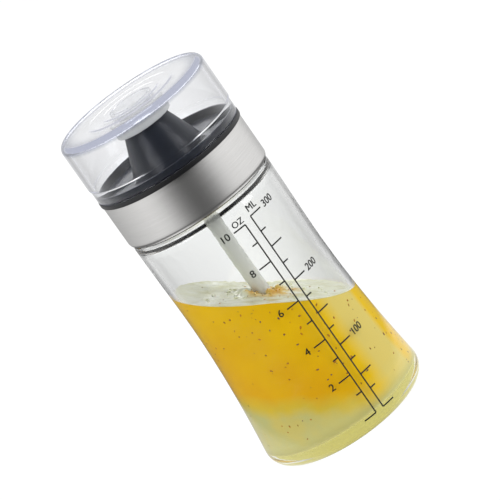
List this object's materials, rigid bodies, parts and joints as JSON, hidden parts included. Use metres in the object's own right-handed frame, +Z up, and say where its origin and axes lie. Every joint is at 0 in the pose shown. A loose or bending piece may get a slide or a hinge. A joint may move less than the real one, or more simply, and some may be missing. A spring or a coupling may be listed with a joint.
{
  "type": "salad dressing shaker bottle",
  "caption": "Glass bottle with a flared foot and a steel screw collar, a pouring cone under a clear lift-off cap, and a mixing wheel on a central rod.",
  "frame": {"origin": "centre of the base, on the surface the bottle stands on", "axes": "+Z up the bottle's axis; -Y is the front, and the printed scale is a little to its right"},
  "size_m": [0.0752, 0.0752, 0.1661],
  "materials": {
    "bottle_glass": "polished clear glass, faint grey-green in its thick edges",
    "gasket_silicone": "soft translucent silicone",
    "holder_plastic": "fine matt moulded plastic",
    "rod_plastic": "translucent pale plastic tube",
    "head_plastic": "translucent pale moulded plastic",
    "pourer_plastic": "satin slate blue moulded plastic",
    "sleeve_steel": "steel brushed round the axis",
    "liner_plastic": "black moulded plastic",
    "cap_plastic": "clear moulded plastic, faint blue-violet in its thick edges",
    "seal_silicone": "soft whitish translucent silicone"
  },
  "bodies": {
    "bottle": {"glass_bottle": "bottle_glass"},
    "gasket": {"neck_gasket": "gasket_silicone"},
    "pourer": {"pourer": "pourer_plastic", "mixer_holder": "holder_plastic", "mixing_rod": "rod_plastic", "mixing_head": "head_plastic"},
    "collar": {"collar_sleeve": "sleeve_steel", "collar_liner": "liner_plastic"},
    "cap": {"clear_cap": "cap_plastic", "spout_seal": "seal_silicone"}
  },
  "joints": [
    {"name": "lid_off", "type": "slide", "parent": "bottle", "child": "gasket", "axis": [0, 0, 1], "range_m": [0, 0.15]},
    {"name": "screw_rise", "type": "slide", "parent": "gasket", "child": "pourer", "axis": [0, 0, 1], "range_m": [0, 0.005]},
    {"name": "collar_turn", "type": "hinge", "parent": "pourer", "child": "collar", "pos_m": [0, 0, 0.1262], "axis": [0, 0, 1], "range_deg": [0, 432]},
    {"name": "cap_lift", "type": "slide", "parent": "pourer", "child": "cap", "axis": [0, 0, 1], "range_m": [0, 0.05]}
  ],
  "couplings": [
    {"joint": "screw_rise", "follows": "collar_turn", "m_per_rad": 0.00063662}
  ]
}
